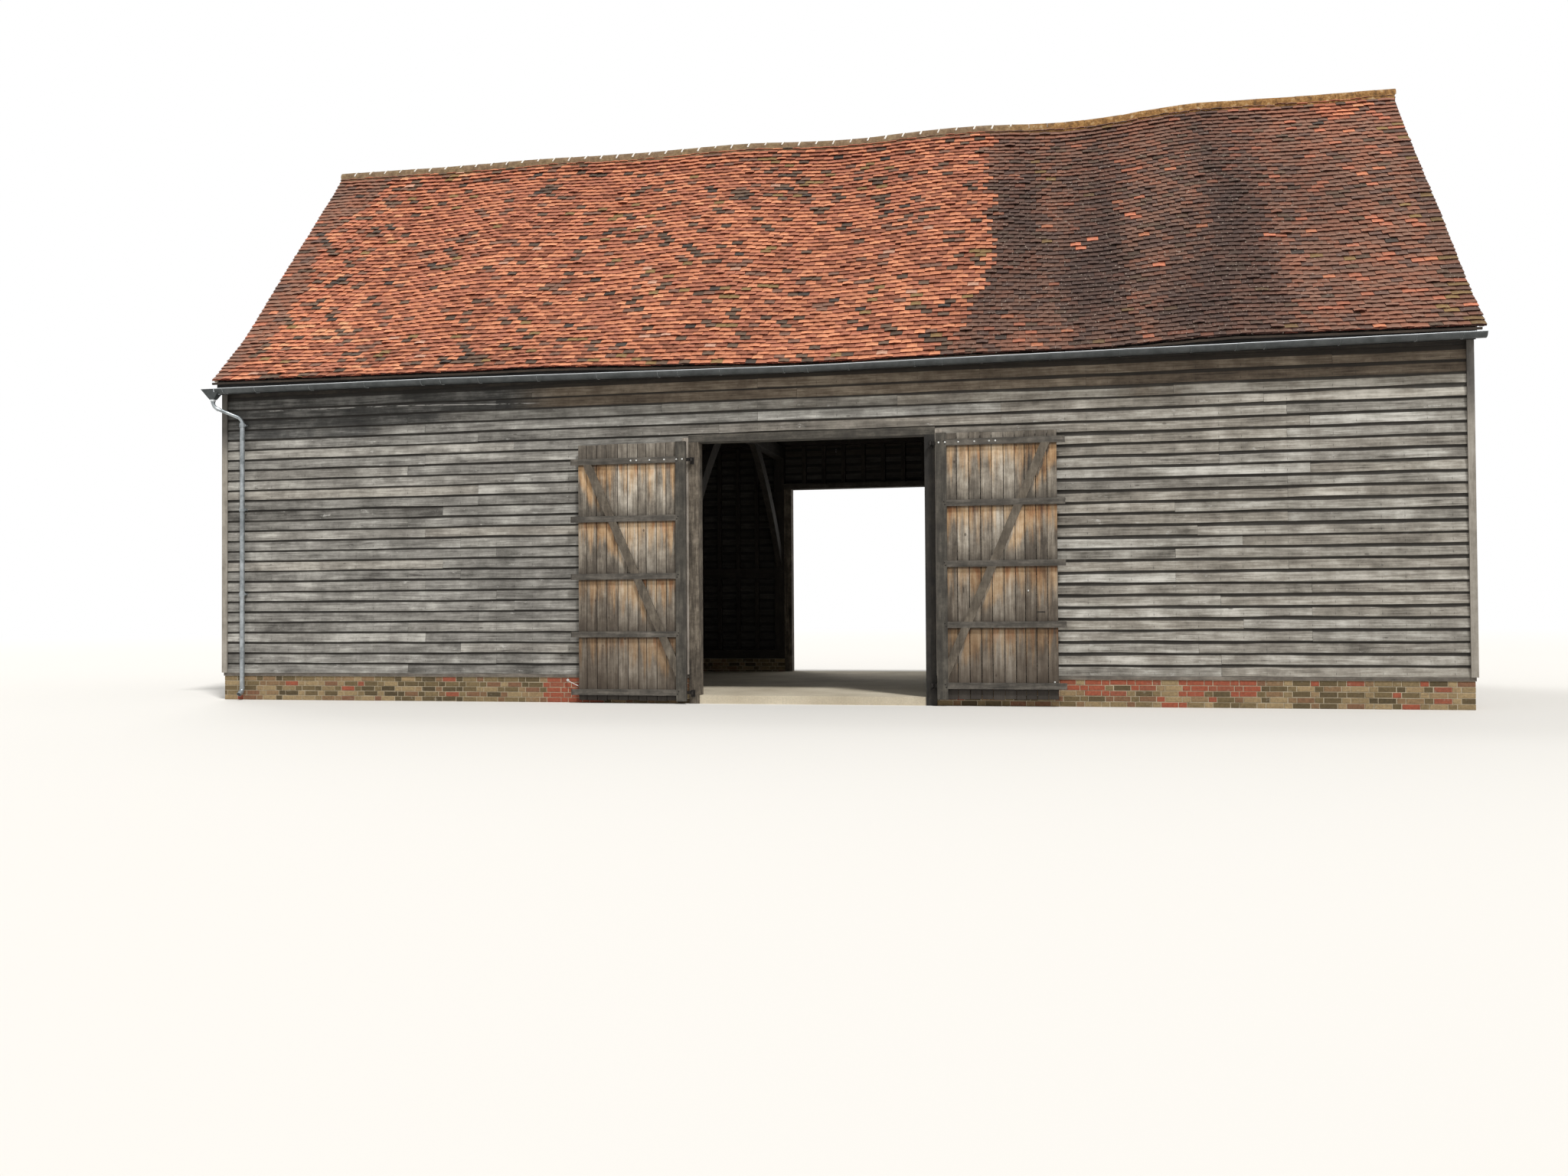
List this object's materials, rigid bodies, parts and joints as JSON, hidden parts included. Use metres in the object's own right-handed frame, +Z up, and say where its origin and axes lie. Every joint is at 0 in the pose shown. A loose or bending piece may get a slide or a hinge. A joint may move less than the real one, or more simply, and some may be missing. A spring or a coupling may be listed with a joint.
{
  "type": "timber-framed weatherboarded barn",
  "caption": "Weatherboarded timber barn with a steep sagging tiled roof, a through passage and a pair of swinging ledged and braced doors.",
  "frame": {"origin": "centre of the box round the barn, on the ground under the walls", "axes": "+X along the barn to the right as seen from the front, +Y from the front wall to the back wall, +Z up"},
  "size_m": [18.57, 7.954, 9.6165],
  "materials": {
    "concrete": "worn cream concrete",
    "brick": "mixed brown brick with pale mortar",
    "frame_oak": "dry dark oak",
    "weathered_oak": "weathered grey-brown oak",
    "weatherboard": "weathered silver-grey boarding",
    "roof_tile": "hand-made red clay tile, stained dark in places",
    "ridge_tile": "tan clay ridge tile with pale mortar",
    "galvanised_steel": "dull galvanised grey",
    "black_iron": "black iron",
    "door_board": "brown boards, orange under the ledges",
    "door_ledge": "dark grey-brown timber"
  },
  "bodies": {
    "barn": {"floor_slab": "concrete", "front_plinths": "brick", "back_plinths": "brick", "gable_plinths": "brick", "wall_sill_beams": "frame_oak", "gable_sill_beams": "frame_oak", "frame_posts": "frame_oak", "door_posts": "weathered_oak", "door_lintels": "weathered_oak", "wall_plates": "frame_oak", "tie_beams": "frame_oak", "arch_braces": "frame_oak", "wall_studs": "frame_oak", "mid_rails": "frame_oak", "front_rafters": "frame_oak", "back_rafters": "frame_oak", "purlins": "frame_oak", "collars": "frame_oak", "queen_posts": "frame_oak", "front_boarding_left": "weatherboard", "front_boarding_right": "weatherboard", "front_boarding_over_door": "weatherboard", "back_boarding_left": "weatherboard", "back_boarding_right": "weatherboard", "back_boarding_over_door": "weatherboard", "left_gable_boarding": "weatherboard", "right_gable_boarding": "weatherboard", "drip_boards": "weathered_oak", "corner_boards": "weathered_oak", "door_cover_boards": "weatherboard", "front_roof": "roof_tile", "back_roof": "roof_tile", "ridge_tiles": "ridge_tile", "bargeboards": "weathered_oak", "fascias": "weathered_oak", "gutters": "galvanised_steel", "gutter_brackets": "galvanised_steel", "downpipes": "galvanised_steel", "door_pintles": "black_iron"},
    "left_door": {"left_door_boards": "door_board", "left_door_ledges": "door_ledge", "left_door_stile": "door_ledge", "left_door_brace": "door_ledge", "left_door_straps": "black_iron"},
    "right_door": {"right_door_boards": "door_board", "right_door_ledges": "door_ledge", "right_door_stile": "door_ledge", "right_door_brace": "door_ledge", "right_door_straps": "black_iron"}
  },
  "joints": [
    {"name": "left_door_hinge", "type": "hinge", "parent": "barn", "child": "left_door", "pos_m": [-1.415, -3.73, 1.865], "axis": [0, 0, 1], "range_deg": [0, 180]},
    {"name": "right_door_hinge", "type": "hinge", "parent": "barn", "child": "right_door", "pos_m": [2.065, -3.73, 1.987], "axis": [0, 0, 1], "range_deg": [-180, 0]}
  ]
}
